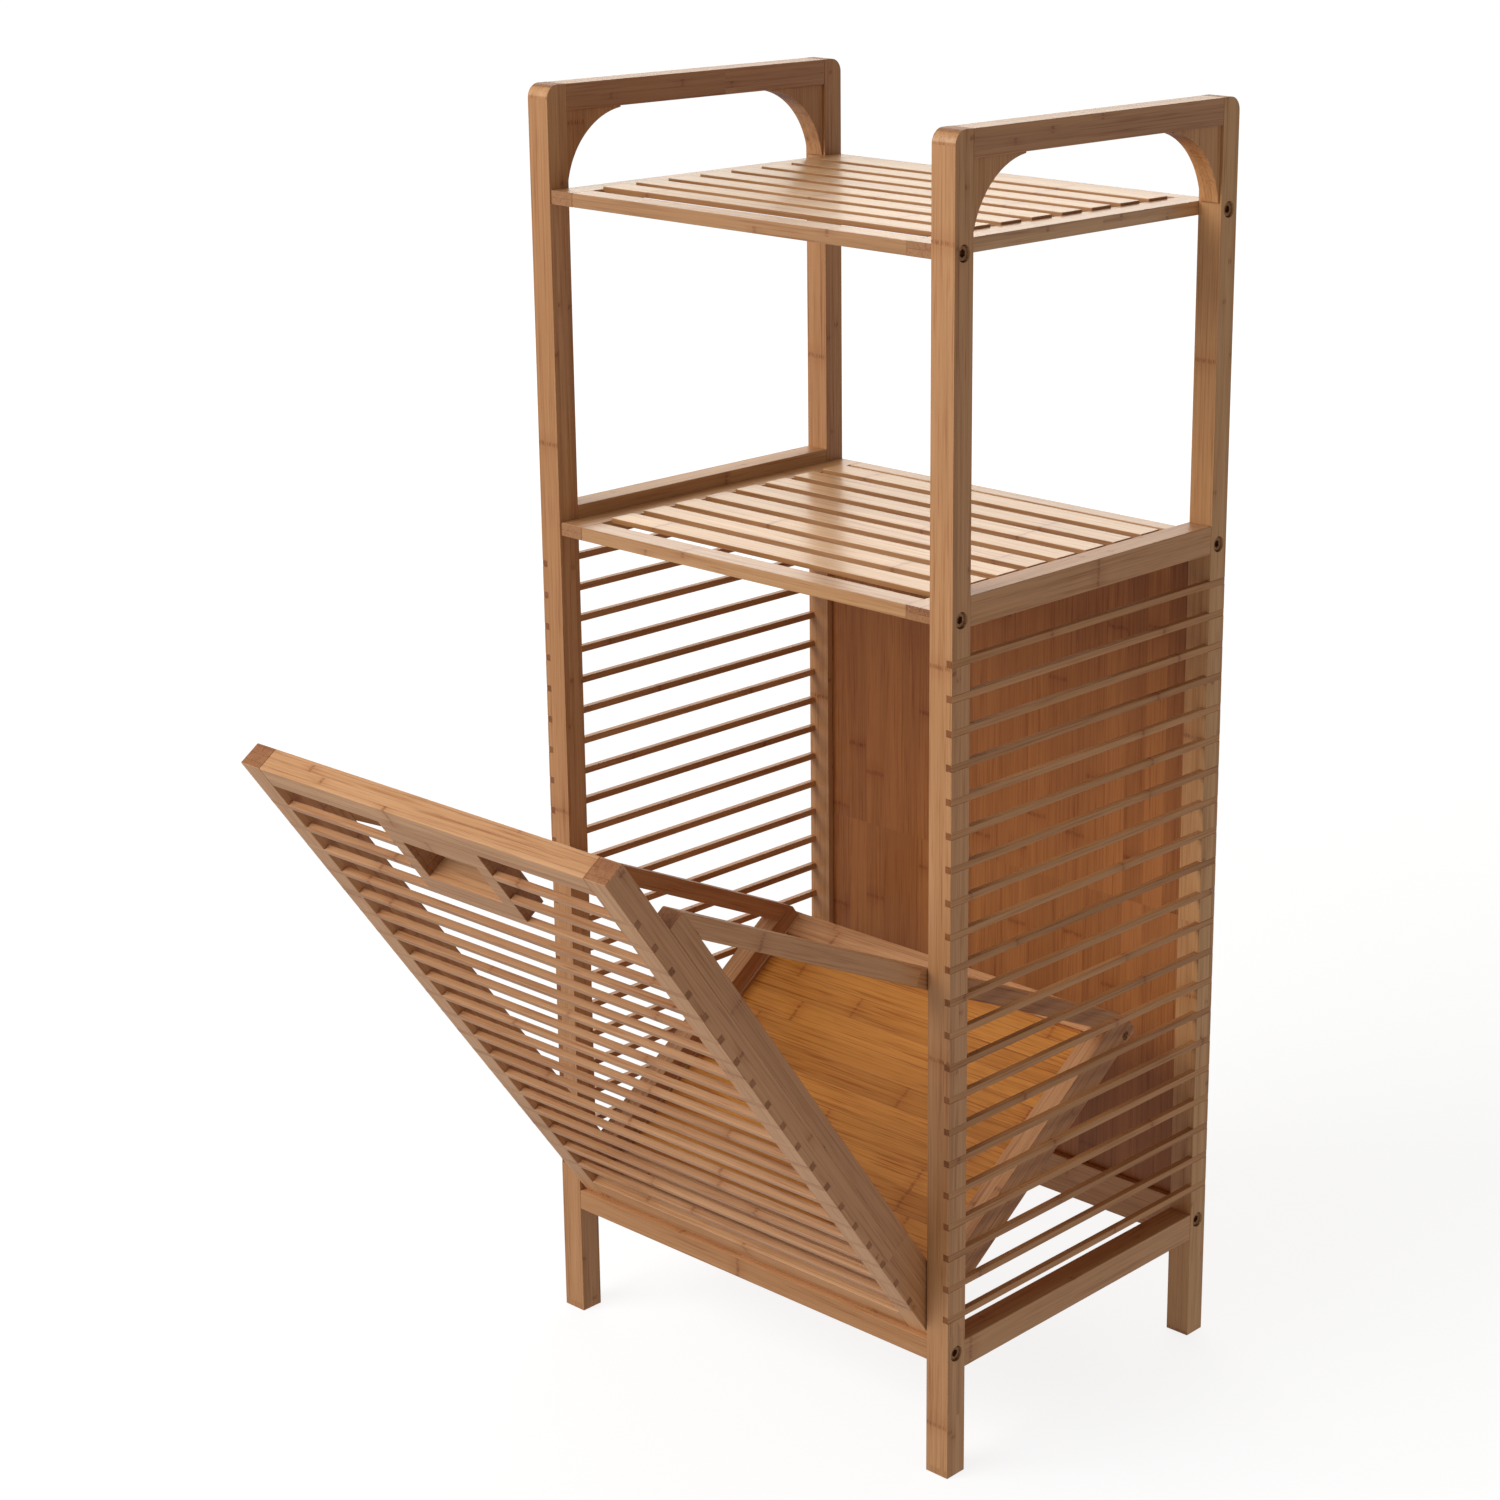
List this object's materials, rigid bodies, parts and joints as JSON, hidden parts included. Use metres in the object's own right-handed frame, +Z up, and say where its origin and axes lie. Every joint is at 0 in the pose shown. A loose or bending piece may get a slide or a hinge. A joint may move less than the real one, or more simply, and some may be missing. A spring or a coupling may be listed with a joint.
{
  "type": "laundry hamper with lid",
  "caption": "Bamboo laundry tower: two slatted shelves between ladder-like side frames over a slatted tilt-out hamper bin.",
  "frame": {"origin": "bottom centre of the bounding box with the bin open: halfway between the door's top front arris and the rear faces, on the floor", "axes": "+X to the right seen from the front, +Y from the front towards the back, +Z up; the bin opens towards -Y"},
  "size_m": [0.4, 0.5906, 0.95],
  "materials": {
    "tower_frame": "satin lacquered bamboo",
    "shelves": "satin lacquered bamboo",
    "slats": "satin lacquered bamboo",
    "bin_frame": "satin lacquered bamboo",
    "back": "satin lacquered bamboo board",
    "floor": "satin lacquered bamboo board",
    "hardware": "dark bronzed steel"
  },
  "bodies": {
    "tower": {"back_panel": "back", "base_rail_left": "tower_frame", "base_rail_right": "tower_frame", "cross_rail_front": "tower_frame", "cross_rail_rear": "tower_frame", "frame_bolts": "hardware", "gusset_front_left": "tower_frame", "gusset_front_right": "tower_frame", "gusset_rear_left": "tower_frame", "gusset_rear_right": "tower_frame", "handle_rail_left": "tower_frame", "handle_rail_right": "tower_frame", "insert_nuts": "hardware", "mid_rail_left": "tower_frame", "mid_rail_right": "tower_frame", "mid_shelf_end_left": "shelves", "mid_shelf_end_right": "shelves", "mid_shelf_front_rail": "shelves", "mid_shelf_rear_rail": "shelves", "mid_shelf_slats": "slats", "post_front_left": "tower_frame", "post_front_right": "tower_frame", "post_rear_left": "tower_frame", "post_rear_right": "tower_frame", "side_slats_left": "slats", "side_slats_right": "slats", "top_shelf_end_left": "shelves", "top_shelf_end_right": "shelves", "top_shelf_front_rail": "shelves", "top_shelf_rear_rail": "shelves", "top_shelf_slats": "slats"},
    "bin": {"bin_brace_left": "bin_frame", "bin_brace_right": "bin_frame", "bin_sill_left": "bin_frame", "bin_sill_right": "bin_frame", "bin_upright_left": "bin_frame", "bin_upright_right": "bin_frame", "door_bottom_rail": "bin_frame", "door_pull": "bin_frame", "door_slats": "slats", "door_slats_beside_pull": "slats", "door_stile_left": "bin_frame", "door_stile_right": "bin_frame", "door_top_rail": "bin_frame", "floor_board": "floor", "floor_rail_front": "bin_frame", "floor_rail_left": "bin_frame", "floor_rail_rear": "bin_frame", "floor_rail_right": "bin_frame", "floor_screws": "hardware", "pivot_pin_left": "hardware", "pivot_pin_right": "hardware"}
  },
  "joints": [
    {"name": "bin_tilt", "type": "hinge", "parent": "tower", "child": "bin", "pos_m": [0, 0.00325, 0.11347], "axis": [-1, 0, 0], "range_deg": [0, 35.2]}
  ]
}
